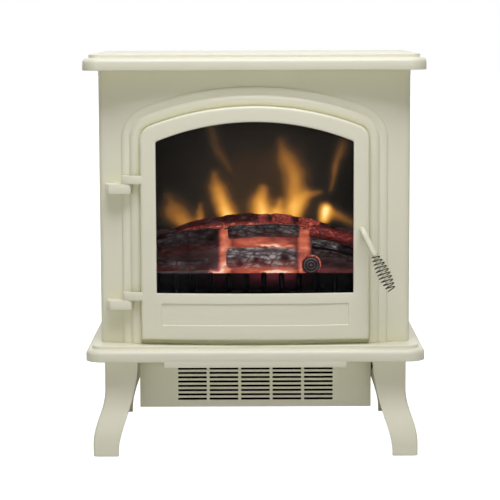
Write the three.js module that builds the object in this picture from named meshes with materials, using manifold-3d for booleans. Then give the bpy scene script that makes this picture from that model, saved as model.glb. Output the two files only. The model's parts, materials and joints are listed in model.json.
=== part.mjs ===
// A compact electric stove: a painted steel cabinet on four flared legs, with a bowed front, a hinged
// arched door with a coil handle, a log set in front of a flame screen, and a fan heater under the base.
// Millimetres, +Z up, the front faces -Y. Inside the part, y is the distance behind the base plate's
// front edge; the outer group then moves the whole stove so that the origin is under its middle.
import * as THREE from "three";
import { mergeVertices } from "three/addons/utils/BufferGeometryUtils.js";
import Module from "manifold-3d";

const wasm = await Module();
wasm.setup();

// ---- driving dimensions ----
const GAP = 0.3; // clearance between pieces that touch
const SHEET = 1.2; // steel panels
const SKIN = 2; // pressed plates and the bowed front
const PLATE_WIDTH = 504; // top and base plates
const PLATE_DEPTH = 345;
const PLATE_CORNER = 25;
const FRONT_REACH = 33.44; // how far the handle stands in front of the plates
const BASE_Z = 144;
const TOP_Z = 574;
const LOWER_TIER = 18;
const UPPER_TIER = 5.5;
const TIER_INSET = 9.3;
const ROUND_OVER = 7;
const TAB = { half: 134.5, drop: 8 }; // the front rim's tab over the outlet

const BODY_HALF = 231;
const BODY_BOTTOM = BASE_Z + LOWER_TIER + UPPER_TIER + GAP;
const BODY_TOP = TOP_Z - GAP;
const BODY_FRONT = 24; // the bow's middle, behind the base plate's front edge
const BOW_RADIUS = 1200;
const BOW_CENTRE = BODY_FRONT + BOW_RADIUS;
const BODY_CORNER = 8;
const RETURN_END = 62; // where the front's folded sides end
const REAR_FACE = 329.7;

// the surround's outermost line; every line inside it is a concentric offset
const ARCH = { half: 197.4, corner: 51, radius: 453, apex: 550 };
const STEPS = [
  { inset: 0, rise: 3 },
  { inset: 13.4, rise: 6.5 },
  { inset: 24.4, rise: 8.5 },
];
const DOOR_POCKET = 27.4; // the surround steps back here, around the door
const DOOR_INSET = 28.4;
const FIRE_INSET = 38; // the firebox opening behind the door
const FIRE_BOTTOM = 238;

const VENTS = { rows: 6, columns: [-75, 75], half: 45, height: 4, lowest: 440, pitch: 14 }; // rear panel
const CORD = { x: -150, z: 190, hole: 4 }; // where the supply cord leaves the rear panel

const DOOR = { bottom: 175.4, front: 6, back: 22.5, skin: 3, corner: 3 };
const WINDOW = { half: 145.5, bottom: 245.4, corner: 4, radius: 377, apex: 498.6 };
const RECESS = { half: 138.5, bottom: 197.3, top: 230.5, depth: 1.5 };
const GLASS = { front: 9.3, back: 13.3, lap: 6 };

const HINGE = { x: -190.5, y: 28, pin: 3, knuckle: 6.3, brackets: [219.7, 392.9], height: 14, leaf: 12.2 };
const HANDLE = {
  pivot: [158, 339],
  knee: -6,
  tip: [199, -26, 255],
  rod: 4.4,
  rodEnd: 0.47, // share of the way down the grip
  wire: 1,
  turns: 9.5,
  belly: 3.6, // how much the coil swells in its middle
};

const LEG = { top: BASE_Z - GAP, wall: 3 };
const HEATER = { half: 174.5, front: 60, back: 196, bottom: 65, top: LEG.top };
const SLOTS = { columns: 5, rows: 8, width: 43.3, height: 3.2, pitchX: 47.6, pitchZ: 6.6, lowest: 77.4 };
const FIREBOX = { half: 161.2, bottom: 235.3, top: 515, back: 166 };
const SCREEN_Y = 150;

// ---- materials ----
const paint = (color, roughness, metalness = 0) =>
  new THREE.MeshStandardMaterial({ color, roughness, metalness });
const cream = paint(0xe9e4cf, 0.45);
const black = paint(0x141312, 0.8);
const steel = paint(0x9a9a9a, 0.35, 1);
const darkSteel = paint(0x3a3937, 0.4, 1);
const plastic = paint(0x1c1c1c, 0.5);
const log = paint(0x3a2a22, 0.9);
const ember = paint(0xc8491a, 0.8);
const glass = new THREE.MeshStandardMaterial({
  color: 0x222222,
  roughness: 0.05,
  transparent: true,
  opacity: 0.3,
});
const screen = paint(0x1b1815, 0.3);
const mirror = paint(0xd8d8d8, 0.1, 1);
const lens = paint(0xf6d9a8, 0.3);

// ---- outlines ----
// Points of an arc, from one angle to another.
function arc(cx, cy, radius, from, to, steps) {
  const points = [];
  for (let i = 0; i <= steps; i++) {
    const angle = from + ((to - from) * i) / steps;
    points.push(new THREE.Vector2(cx + radius * Math.cos(angle), cy + radius * Math.sin(angle)));
  }
  return points;
}

// A rectangle with rounded corners.
function roundedRect(x0, x1, y0, y1, radius, steps = 5) {
  const quarter = Math.PI / 2;
  const centres = [
    [x1 - radius, y1 - radius],
    [x0 + radius, y1 - radius],
    [x0 + radius, y0 + radius],
    [x1 - radius, y0 + radius],
  ];
  return centres.flatMap(([cx, cy], i) => arc(cx, cy, radius, i * quarter, (i + 1) * quarter, steps));
}

// An arched opening: upright sides, a corner arc on each side and a flatter arc over the top.
function archOutline({ half, corner, radius, apex }, bottom, foot = 0) {
  const crown = apex - radius;
  const reach = Math.sqrt((radius - corner) ** 2 - (half - corner) ** 2);
  const turn = Math.atan2(reach, half - corner);
  const points = [
    ...arc(half - corner, crown + reach, corner, 0, turn, 5),
    ...arc(0, crown, radius, turn, Math.PI - turn, 14).slice(1, -1),
    ...arc(corner - half, crown + reach, corner, Math.PI - turn, Math.PI, 5),
  ];
  if (foot > 0) {
    points.push(...arc(foot - half, bottom + foot, foot, Math.PI, 1.5 * Math.PI, 3));
    points.push(...arc(half - foot, bottom + foot, foot, -0.5 * Math.PI, 0, 3));
  } else {
    points.push(new THREE.Vector2(-half, bottom), new THREE.Vector2(half, bottom));
  }
  return points;
}

// The surround's arch, moved inwards.
function insetArch(inset) {
  return {
    half: ARCH.half - inset,
    corner: ARCH.corner - inset,
    radius: ARCH.radius - inset,
    apex: ARCH.apex - inset,
  };
}

// The body's plan seen from above, back to y = end: the bow, with a rounded corner on each side.
function bodyPlan(inset, end) {
  const corner = BODY_CORNER - inset;
  const cornerX = BODY_HALF - BODY_CORNER;
  const reach = Math.sqrt((BOW_RADIUS - BODY_CORNER) ** 2 - cornerX ** 2);
  const turn = Math.atan2(-reach, cornerX);
  return [
    new THREE.Vector2(inset - BODY_HALF, end),
    ...arc(-cornerX, BOW_CENTRE - reach, corner, Math.PI, Math.PI - turn, 4),
    ...arc(0, BOW_CENTRE, BOW_RADIUS - inset, -Math.PI - turn, turn, 14).slice(1, -1),
    ...arc(cornerX, BOW_CENTRE - reach, corner, turn, 0, 4),
    new THREE.Vector2(BODY_HALF - inset, end),
  ];
}

// ---- solids ----
function solid(geometry) {
  const bare = geometry.clone();
  bare.deleteAttribute("normal");
  bare.deleteAttribute("uv");
  const merged = mergeVertices(bare, 1e-4);
  return new wasm.Manifold(
    new wasm.Mesh({
      numProp: 3,
      vertProperties: merged.attributes.position.array,
      triVerts: new Uint32Array(merged.index.array),
    }),
  );
}

const join = (...shapes) => shapes.reduce((all, next) => all.add(next));
const cut = (shape, ...tools) => tools.reduce((rest, tool) => rest.subtract(tool), shape);
const common = (a, b) => a.intersect(b);
const shift = (shape, x, y, z) => shape.translate([x, y, z]);

function block(x0, x1, y0, y1, z0, z1) {
  const box = new THREE.BoxGeometry(x1 - x0, y1 - y0, z1 - z0);
  box.translate((x0 + x1) / 2, (y0 + y1) / 2, (z0 + z1) / 2);
  return solid(box);
}

function extrude(points, length) {
  return new THREE.ExtrudeGeometry(new THREE.Shape(points), { depth: length, bevelEnabled: false });
}

// A plan outline, raised from z0 to z1.
function upright(points, z0, z1) {
  return solid(extrude(points, z1 - z0).translate(0, 0, z0));
}

// An outline seen from the front, (x, z), running back from y0 to y1.
function facing(points, y0, y1) {
  return solid(
    extrude(points, y1 - y0)
      .rotateX(Math.PI / 2)
      .translate(0, y1, 0),
  );
}

// An outline seen from the side, (y, z), running from x0 to x1.
function sideways(points, x0, x1) {
  const turn = new THREE.Matrix4().makeBasis(
    new THREE.Vector3(0, 1, 0),
    new THREE.Vector3(0, 0, 1),
    new THREE.Vector3(1, 0, 0),
  );
  return solid(
    extrude(points, x1 - x0)
      .applyMatrix4(turn)
      .translate(x0, 0, 0),
  );
}

// A round bar between two points.
function bar(from, to, radius, sides = 20, endRadius = radius) {
  const start = new THREE.Vector3(...from);
  const axis = new THREE.Vector3(...to).sub(start);
  const cylinder = new THREE.CylinderGeometry(endRadius, radius, axis.length(), sides);
  cylinder.translate(0, axis.length() / 2, 0);
  cylinder.applyQuaternion(
    new THREE.Quaternion().setFromUnitVectors(new THREE.Vector3(0, 1, 0), axis.clone().normalize()),
  );
  cylinder.translate(start.x, start.y, start.z);
  return solid(cylinder);
}

// A round section swept along a curve.
function sweep(curve, radius, sides, steps) {
  const section = new THREE.Shape(arc(0, 0, radius, 0, 2 * Math.PI, sides).slice(0, -1));
  return solid(new THREE.ExtrudeGeometry(section, { steps, bevelEnabled: false, extrudePath: curve }));
}

// A slab that follows the front's bow between two depths, measured at the middle.
function bowed(front, back, half, z0, z1) {
  const edge = (depth, side) => {
    const radius = BOW_CENTRE - depth;
    const spread = Math.asin(half / radius);
    return arc(0, BOW_CENTRE, radius, -Math.PI / 2 - side * spread, -Math.PI / 2 + side * spread, 14);
  };
  return upright([...edge(front, 1), ...edge(back, -1)], z0, z1);
}

// How far the bow falls back at a distance from the middle.
const bowAt = (x) => BOW_CENTRE - BODY_FRONT - Math.sqrt(BOW_RADIUS ** 2 - x ** 2);

const stove = new THREE.Group();

function piece(name, shape, material) {
  const { vertProperties, triVerts } = shape.getMesh();
  const geometry = new THREE.BufferGeometry();
  geometry.setAttribute("position", new THREE.BufferAttribute(new Float32Array(vertProperties), 3));
  geometry.setIndex(new THREE.BufferAttribute(new Uint32Array(triVerts), 1));
  const flat = geometry.toNonIndexed();
  flat.computeVertexNormals();
  const mesh = new THREE.Mesh(flat, material);
  mesh.name = name;
  stove.add(mesh);
  return shape;
}

// ---- top and base plates ----
// A plate of two tiers with rounded corners; the lower tier's upper edge is rounded over.
function tieredPlate(bottom, inset) {
  const half = PLATE_WIDTH / 2;
  const rect = (shrink) =>
    roundedRect(shrink - half, half - shrink, shrink, PLATE_DEPTH - shrink, PLATE_CORNER - shrink);
  const top = bottom + LOWER_TIER - inset;
  const layers = [upright(rect(inset), bottom, top - ROUND_OVER)];
  const rounds = 3;
  for (let i = 1; i <= rounds; i++) {
    const low = Math.asin((i - 1) / rounds);
    const high = Math.asin(i / rounds);
    const shrink = inset + ROUND_OVER * (1 - Math.cos((low + high) / 2));
    const z0 = top - ROUND_OVER + ROUND_OVER * Math.sin(low);
    const z1 = top - ROUND_OVER + ROUND_OVER * Math.sin(high);
    layers.push(upright(rect(shrink), z0 - 0.01, z1));
  }
  layers.push(upright(rect(inset + TIER_INSET), top - 0.01, top + UPPER_TIER));
  return join(...layers);
}

function buildPlates() {
  const half = PLATE_WIDTH / 2;
  const below = (z) => block(-half, half, -1, PLATE_DEPTH + 1, z - 50, z);
  const inside = (bottom) => cut(tieredPlate(bottom, SKIN), below(bottom + SKIN));
  // where a plate is open to the inside of the body
  const mouth = (reach, front, z0, z1) =>
    upright(roundedRect(-reach, reach, front, REAR_FACE - 20, 10), z0, z1);
  const baseTop = BASE_Z + LOWER_TIER + UPPER_TIER;
  const tab = block(-TAB.half, TAB.half, 0, SKIN, BASE_Z - TAB.drop, BASE_Z + SKIN);
  const base = cut(tieredPlate(BASE_Z, 0), inside(BASE_Z), mouth(130, 160, baseTop - SKIN - 1, baseTop + 1));
  piece("base_plate", join(base, tab), cream);
  const lidMouth = mouth(BODY_HALF - 20, 60, TOP_Z - 1, TOP_Z + SKIN + 1);
  piece("top_plate", cut(tieredPlate(TOP_Z, 0), inside(TOP_Z), lidMouth), cream);
}

// ---- cabinet ----
function buildCabinet() {
  const outside = upright(bodyPlan(0, RETURN_END), BODY_BOTTOM, BODY_TOP);
  const inside = upright(bodyPlan(SKIN, RETURN_END + 1), BODY_BOTTOM - 1, BODY_TOP + 1);
  const mouldings = STEPS.map(({ inset, rise }) =>
    common(
      facing(archOutline(insetArch(inset), BODY_BOTTOM), 0, RETURN_END),
      bowed(BODY_FRONT - rise, BODY_FRONT + SKIN / 2, BODY_HALF - 20, BODY_BOTTOM, BODY_TOP),
    ),
  );
  const pocket = common(
    facing(archOutline(insetArch(DOOR_POCKET), BODY_BOTTOM - 1), -1, RETURN_END),
    bowed(0, BODY_FRONT, BODY_HALF - 20, BODY_BOTTOM - 1, BODY_TOP),
  );
  const fireOpening = facing(archOutline(insetArch(FIRE_INSET), FIRE_BOTTOM), -1, RETURN_END);
  const raised = cut(join(...mouldings), pocket);
  piece("front_surround", cut(join(cut(outside, inside), raised), fireOpening), cream);

  const sideStart = RETURN_END + GAP;
  const sideEnd = REAR_FACE - SHEET - GAP;
  const flange = 12;
  const wall = join(
    block(BODY_HALF - SHEET, BODY_HALF, sideStart, sideEnd, BODY_BOTTOM, BODY_TOP),
    block(BODY_HALF - flange, BODY_HALF, sideEnd - SHEET, sideEnd, BODY_BOTTOM, BODY_TOP),
  );
  piece("right_side_panel", wall, cream);
  piece("left_side_panel", wall.mirror([1, 0, 0]), cream);

  const vents = [];
  for (let row = 0; row < VENTS.rows; row++) {
    for (const x of VENTS.columns) {
      const z = VENTS.lowest + row * VENTS.pitch;
      vents.push(block(x - VENTS.half, x + VENTS.half, REAR_FACE - 5, REAR_FACE + 5, z, z + VENTS.height));
    }
  }
  const rear = block(-BODY_HALF, BODY_HALF, REAR_FACE - SHEET, REAR_FACE, BODY_BOTTOM, BODY_TOP);
  const alongCord = (from, to, radius, sides, endRadius) =>
    bar([CORD.x, REAR_FACE + from, CORD.z], [CORD.x, REAR_FACE + to, CORD.z], radius, sides, endRadius);
  const cordHole = alongCord(-5, 12, CORD.hole, 12);
  piece("rear_panel", cut(rear, cordHole, ...vents), cream);
  for (const [side, x] of [["left", -215], ["right", 215]]) {
    for (const [level, z] of [["lower", 195], ["upper", 545]]) {
      const y = REAR_FACE + GAP;
      piece(`rear_screw_${level}_${side}`, bar([x, y, z], [x, y + 2, z], 4, 12, 3), steel);
    }
  }

  piece("cord_gland", cut(alongCord(GAP, 9, 9, 16, 7.5), cordHole), plastic);
  return join(outside, raised);
}

// ---- legs ----
// One flared leg's outline, the same S shape from the front and from the side.
function legOutline(across, outward) {
  const at = (x, z) => new THREE.Vector2(outward * x + across, z);
  const shape = new THREE.Shape();
  const start = at(242.2, 0);
  shape.moveTo(start.x, start.y);
  const flare = [at(242.2, 16), at(242.2, 52), at(225, 66), at(225, 100)];
  const calf = [at(175.2, 140), at(178.5, 74), at(202.5, 44), at(203.8, 10)];
  shape.lineTo(flare[0].x, flare[0].y);
  shape.bezierCurveTo(flare[1].x, flare[1].y, flare[2].x, flare[2].y, flare[3].x, flare[3].y);
  shape.lineTo(at(225, 0).x, LEG.top);
  shape.lineTo(at(175.2, 0).x, LEG.top);
  shape.lineTo(calf[0].x, calf[0].y);
  shape.bezierCurveTo(calf[1].x, calf[1].y, calf[2].x, calf[2].y, calf[3].x, calf[3].y);
  shape.lineTo(at(204, 0).x, 0);
  return shape.getPoints(8);
}

function buildLegs() {
  const cornerDistance = 251;
  const front = facing(legOutline(0, 1), 0, 100);
  const side = sideways(legOutline(cornerDistance, -1), 150, 260);
  const full = common(front, side);
  const { wall } = LEG;
  const narrowed = [-wall, wall]
    .flatMap((x) => [-wall, wall].map((y) => shift(full, x, y, 0)))
    .reduce((inner, next) => common(inner, next));
  const leg = cut(full, cut(narrowed, block(100, 300, -1, 120, -1, wall + 1)));
  const rear = shift(leg.mirror([0, 1, 0]), 0, PLATE_DEPTH, 0);
  piece("leg_front_right", leg, cream);
  piece("leg_front_left", leg.mirror([1, 0, 0]), cream);
  piece("leg_rear_right", rear, cream);
  piece("leg_rear_left", rear.mirror([1, 0, 0]), cream);
}

// ---- fan heater under the base ----
function buildHeater() {
  const { half, front, back, bottom, top } = HEATER;
  const slots = [];
  for (let column = 0; column < SLOTS.columns; column++) {
    for (let row = 0; row < SLOTS.rows; row++) {
      const x = (column - (SLOTS.columns - 1) / 2) * SLOTS.pitchX;
      const z = SLOTS.lowest + row * SLOTS.pitchZ;
      const reachX = SLOTS.width / 2;
      const reachZ = SLOTS.height / 2;
      slots.push(block(x - reachX, x + reachX, front - 1, front + SHEET + 1, z - reachZ, z + reachZ));
    }
  }
  piece("outlet_grille", cut(block(-half, half, front, front + SHEET, bottom, top), ...slots), cream);

  const shellFront = front + SHEET + GAP;
  const switchHole = block(half - 10, half + 1, 108, 162, 97, 123);
  const shell = cut(
    block(-half, half, shellFront, back, bottom, top),
    block(-half + SHEET, half - SHEET, shellFront - 1, back - SHEET, bottom + SHEET, top - SHEET),
    switchHole,
  );
  piece("heater_housing", shell, black);

  const axis = { y: 140, z: 106 };
  const wheelHalf = 112;
  const wheelRadius = 24;
  const blades = [];
  for (let i = 0; i < 12; i++) {
    const angle = (i * 2 * Math.PI) / 12;
    const blade = new THREE.BoxGeometry(2 * wheelHalf, 1, 8);
    blade.rotateX(0.5);
    blade.translate(0, 0, wheelRadius - 4.5);
    blade.rotateX(angle);
    blade.translate(0, axis.y, axis.z);
    blades.push(solid(blade));
  }
  const disc = (x) => bar([x, axis.y, axis.z], [x + 2, axis.y, axis.z], wheelRadius, 20);
  const shaft = bar([-wheelHalf - 8, axis.y, axis.z], [wheelHalf + 12, axis.y, axis.z], 3, 12);
  piece("blower_wheel", join(disc(-wheelHalf), disc(-1), disc(wheelHalf - 2), shaft, ...blades), darkSteel);

  const scrollInner = wheelRadius + 4;
  const scroll = [
    ...arc(axis.y, axis.z, scrollInner + SHEET, -0.5 * Math.PI, 0.75 * Math.PI, 14),
    ...arc(axis.y, axis.z, scrollInner, 0.75 * Math.PI, -0.5 * Math.PI, 14),
  ];
  piece("blower_scroll", sideways(scroll, -wheelHalf - 3, wheelHalf + 3), steel);

  const motorCan = bar([wheelHalf + 6, axis.y, axis.z], [wheelHalf + 46, axis.y, axis.z], 21, 20);
  const motorBore = bar([wheelHalf + 5, axis.y, axis.z], [wheelHalf + 14, axis.y, axis.z], 4, 12);
  piece("blower_motor", cut(motorCan, motorBore), steel);

  const finPitch = 20;
  const fins = [];
  for (let i = -5; i <= 5; i++) {
    fins.push(block(i * finPitch - 1, i * finPitch + 1, 70, 92, 80, 126));
  }
  const rails = [block(-112, 112, 76, 86, 84, 90), block(-112, 112, 76, 86, 116, 122)];
  piece("heating_element", join(...rails, ...fins), steel);

  buildSwitches(half);
}

// Three rocker switches in a plate on the heater's right side; each rocks about a line along Y.
function buildSwitches(face) {
  const x = face + GAP;
  const places = [119, 135, 151];
  const centreZ = 110;
  const hole = { halfY: 5.5, halfZ: 9.5 };
  const holes = places.map((y) =>
    block(x - 5, x + 5, y - hole.halfY, y + hole.halfY, centreZ - hole.halfZ, centreZ + hole.halfZ),
  );
  piece("switch_plate", cut(block(x, x + 2, 106, 164, 95, 125), ...holes), plastic);
  const rockerProfile = [
    [-4, -7.5],
    [4.5, -8.5],
    [3.2, 0],
    [4.5, 8.5],
    [-4, 7.5],
  ].map(([out, up]) => new THREE.Vector2(out, up));
  const tilt = 0.12;
  places.forEach((y, i) => {
    const rocker = extrude(rockerProfile, 10);
    rocker.translate(0, 0, -5);
    rocker.rotateX(Math.PI / 2);
    rocker.rotateY(tilt);
    rocker.translate(x + 1, y, centreZ);
    piece(`rocker_${i + 1}`, solid(rocker), plastic);
  });
}

// ---- firebox and flame effect ----
function buildFirebox() {
  const { half, bottom, top, back } = FIREBOX;
  const tube = cut(
    block(-half, half, 0, back, bottom, top),
    block(-half + SHEET, half - SHEET, -1, back + 1, bottom + SHEET, top - SHEET),
  );
  const behindFront = upright(bodyPlan(SKIN + GAP, back + 10), bottom - 1, top + 1);
  piece("firebox_shell", common(tube, behindFront), black);

  const floor = bottom - GAP;
  const cradle = cut(
    block(-150, 150, 66, 150, BODY_BOTTOM, floor),
    block(-150 + SHEET, 150 - SHEET, 65, 151, BODY_BOTTOM - 1, floor - SHEET),
  );
  piece("firebox_cradle", cradle, steel);

  const inner = half - SHEET - GAP;
  const inside = bottom + SHEET + GAP;
  piece("flame_screen", block(-inner, inner, SCREEN_Y, SCREEN_Y + 3, inside, top - SHEET - GAP), screen);

  const bedProfile = [
    [52, inside],
    [SCREEN_Y - GAP, inside],
    [SCREEN_Y - GAP, 316],
    [128, 306],
    [88, 267],
    [58, 260],
    [52, 256],
  ].map(([y, z]) => new THREE.Vector2(y, z));
  const bed = sideways(bedProfile, -inner, inner);
  const hollow = block(SKIN - inner, inner - SKIN, 55, 147, inside - 9, 330);
  const underside = common(shift(bed, 0, 0, -SKIN), hollow);
  piece("ember_bed", cut(bed, underside), ember);

  buildFret();
  buildLogs();
  buildFlameEffect();
}

// The black grate in front of the embers: upright round bars on a rail, with a low plate behind them.
function buildFret() {
  const y = 44;
  const barPitch = 26.4;
  const bars = [];
  for (let i = -5.5; i <= 5.5; i++) {
    bars.push(bar([i * barPitch, y, 238], [i * barPitch, y, 272.5], 5, 8, 4.4));
  }
  const rail = block(-151, 151, y - 3, y + 5, 237.5, 245);
  const plate = block(-151, 151, y + 3, y + 5, 237.5, 271);
  piece("fret", join(rail, plate, ...bars), black);
}

// Each log: its two ends, its radius at each end, and how far its middle is bent up.
const LOGS = {
  log_back: { from: [-119, 127, 332], to: [110, 127, 338], radii: [9, 7.5], bend: 8 },
  log_left: { from: [-147, 98, 306], to: [-57, 88, 319], radii: [18, 13.5], bend: 2 },
  log_lower_left: { from: [-148, 66, 281], to: [-69, 64, 282], radii: [9.5, 9], bend: 0 },
  log_centre: { from: [-41, 105, 325], to: [68, 104, 327], radii: [10, 9.5], bend: 2 },
  log_front: { from: [-43, 72, 290], to: [63, 69, 290], radii: [15.5, 14.5], bend: 2 },
  log_right_front: { from: [86, 82, 305], to: [151, 74, 293], radii: [14, 11], bend: 2 },
  log_right_back: { from: [84, 106, 328], to: [152, 100, 314], radii: [10, 10], bend: 1 },
};

function buildLogs() {
  for (const [name, { from, to, radii, bend }] of Object.entries(LOGS)) {
    const start = new THREE.Vector3(...from);
    const end = new THREE.Vector3(...to);
    const middle = start.clone().lerp(end, 0.5);
    middle.z += 2 * bend;
    const curve = new THREE.QuadraticBezierCurve3(start, middle, end);
    const along = 9;
    const around = 12;
    const rings = [];
    for (let i = 0; i <= along; i++) {
      const t = i / along;
      const centre = curve.getPoint(t);
      const tangent = curve.getTangent(t);
      const across = new THREE.Vector3().crossVectors(tangent, new THREE.Vector3(0, 0, 1)).normalize();
      const up = new THREE.Vector3().crossVectors(across, tangent);
      const radius = radii[0] + (radii[1] - radii[0]) * t;
      for (let k = 0; k < around; k++) {
        const angle = (k * 2 * Math.PI) / around;
        const knots = 1 + 0.08 * Math.sin(2.3 * i + 1.7 * k) + 0.05 * Math.sin(5.1 * i + k);
        const rim = i === 0 || i === along ? 0.82 : 1;
        const point = centre.clone();
        point.addScaledVector(across, radius * rim * knots * Math.cos(angle));
        point.addScaledVector(up, radius * rim * knots * Math.sin(angle));
        rings.push(point);
      }
    }
    piece(name, loft(rings, around), log);
  }
  const sawn = bar([84, 52, 282], [86, 66, 282], 14.5, 16, 13);
  piece("log_end", sawn, log);
}

// A closed solid through rings of points, with flat fans on the two ends.
function loft(points, around) {
  const rings = points.length / around;
  const faces = [];
  const vertex = (ring, k) => ring * around + (k % around);
  for (let ring = 0; ring < rings - 1; ring++) {
    for (let k = 0; k < around; k++) {
      faces.push(vertex(ring, k), vertex(ring, k + 1), vertex(ring + 1, k));
      faces.push(vertex(ring, k + 1), vertex(ring + 1, k + 1), vertex(ring + 1, k));
    }
  }
  const ends = [0, rings - 1].map((ring) => {
    const middle = new THREE.Vector3();
    for (let k = 0; k < around; k++) {
      middle.addScaledVector(points[vertex(ring, k)], 1 / around);
    }
    return middle;
  });
  const first = points.length;
  for (let k = 0; k < around; k++) {
    faces.push(first, vertex(0, k + 1), vertex(0, k));
    faces.push(first + 1, vertex(rings - 1, k), vertex(rings - 1, k + 1));
  }
  const geometry = new THREE.BufferGeometry().setFromPoints([...points, ...ends]);
  geometry.setIndex(faces);
  const made = solid(geometry);
  if (made.volume() > 0) {
    return made;
  }
  geometry.setIndex(faces.reverse());
  return solid(geometry);
}

// Behind the screen: a spindle of mirror flags, its motor and bearing, and lamps below.
function buildFlameEffect() {
  const axis = { y: 205, z: 300 };
  const flags = [];
  for (let i = -6; i <= 6; i++) {
    const flag = new THREE.BoxGeometry(16, 26, 0.8);
    flag.rotateX(i * 0.9);
    flag.translate(i * 21, axis.y, axis.z);
    flags.push(solid(flag));
  }
  const spindle = bar([-150, axis.y, axis.z], [150, axis.y, axis.z], 2.5, 12);
  piece("flame_rotor", join(spindle, ...flags), mirror);

  // an upright that carries one end of the spindle
  const stand = (x0, x1) => block(x0, x1, axis.y - 16, axis.y + 16, BODY_BOTTOM, axis.z + 16);
  const bore = bar([-170, axis.y, axis.z], [170, axis.y, axis.z], 3, 12);
  piece("rotor_bearing", cut(stand(-144, -141.5), bore), steel);
  const motor = bar([146, axis.y, axis.z], [170, axis.y, axis.z], 15, 20);
  piece("rotor_motor", cut(join(stand(143, 146.2), motor), bore), steel);

  const reflector = block(-150, 150, 268, 269, BODY_BOTTOM, 470);
  piece("reflector_panel", reflector, mirror);

  const boardTop = BODY_BOTTOM + SKIN;
  piece("lamp_board", block(-140, 140, 155, 205, BODY_BOTTOM, boardTop), plastic);
  for (const [side, x] of [["left", -60], ["right", 60]]) {
    const lampY = 180;
    const stem = bar([x, lampY, boardTop + GAP], [x, lampY, boardTop + 24], 8, 16);
    const bulb = new THREE.SphereGeometry(11, 14, 10);
    bulb.translate(x, lampY, boardTop + 32);
    piece(`lamp_${side}`, join(stem, solid(bulb)), lens);
  }
}

// ---- door ----
function buildDoor() {
  const { bottom, front, back, skin, corner } = DOOR;
  const slab = (near, far) => bowed(near, far, BODY_HALF - 40, 150, 560);
  const outline = archOutline(insetArch(DOOR_INSET), bottom, corner);
  const panInside = archOutline(insetArch(DOOR_INSET + skin), bottom + skin);
  const windowHole = facing(archOutline(WINDOW, WINDOW.bottom), -10, RETURN_END);
  const recess = common(
    block(-RECESS.half, RECESS.half, -10, 40, RECESS.bottom, RECESS.top),
    slab(front - 1, front + RECESS.depth),
  );
  const [pivotX, pivotZ] = HANDLE.pivot;
  const spindleHole = bar([pivotX, -10, pivotZ], [pivotX, 50, pivotZ], HANDLE.rod + GAP + 0.1, 20);
  const pan = common(facing(panInside, -10, RETURN_END), slab(front + skin, back + 2));
  const face = common(facing(outline, -10, RETURN_END), slab(front, back));
  piece("door_frame", cut(face, pan, windowHole, recess, spindleHole), cream);

  const widened = (lap) => ({
    half: WINDOW.half + lap,
    corner: WINDOW.corner + lap,
    radius: WINDOW.radius + lap,
    apex: WINDOW.apex + lap,
  });
  const paneOutline = archOutline(widened(GLASS.lap), WINDOW.bottom - GLASS.lap);
  piece("door_glass", common(facing(paneOutline, -10, 60), slab(GLASS.front, GLASS.back)), glass);
  const ring = cut(facing(paneOutline, -10, 60), facing(archOutline(widened(1), WINDOW.bottom - 1), -11, 61));
  piece("glass_retainer", common(ring, slab(GLASS.back + GAP, GLASS.back + GAP + SKIN)), black);

  const edgeX = ARCH.half - DOOR_INSET - skin - GAP;
  const strikerY = front + bowAt(edgeX) + skin + GAP;
  piece("magnet_striker", block(edgeX - 9, edgeX - 1, strikerY + 1, strikerY + 11.2, 250, 280), steel);
  const magnetX = FIREBOX.half + 1;
  piece("door_magnet", block(magnetX, magnetX + 8, 38.6, 46, 252, 278), plastic);
}

function buildHinges(filledFront) {
  const { x, y, pin, knuckle, brackets, height, leaf } = HINGE;
  const doorEdge = -(ARCH.half - DOOR_INSET) - GAP;
  const frontY = y - knuckle - 0.8;
  brackets.forEach((z, i) => {
    const level = ["lower", "upper"][i];
    const top = z + height;
    const plan = [
      new THREE.Vector2(-221, frontY + 7),
      new THREE.Vector2(-215, frontY),
      ...arc(-187, frontY + 5, 5, -Math.PI / 2, 0, 4),
      new THREE.Vector2(-182, 60),
      new THREE.Vector2(-221, 60),
    ];
    const bracket = cut(upright(plan, z, top), shift(filledFront, 0, -GAP, 0));
    const bracketBore = bar([x, y, z + 2], [x, y, top + 1], pin + GAP, 16);
    piece(`hinge_bracket_${level}`, cut(bracket, bracketBore), cream);
    piece(`hinge_pin_${level}`, bar([x, y, z + 2 + GAP], [x, y, top + leaf - 1], pin, 16), steel);
    const leafZ = top + GAP;
    const barrel = bar([x, y, leafZ], [x, y, leafZ + leaf], knuckle, 24);
    const arm = block(x, doorEdge, frontY, y - 1, leafZ, leafZ + leaf);
    const leafBore = bar([x, y, leafZ - 1], [x, y, leafZ + leaf + 1], pin + GAP, 16);
    piece(`hinge_leaf_${level}`, cut(join(barrel, arm), leafBore), cream);
  });
}

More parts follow.
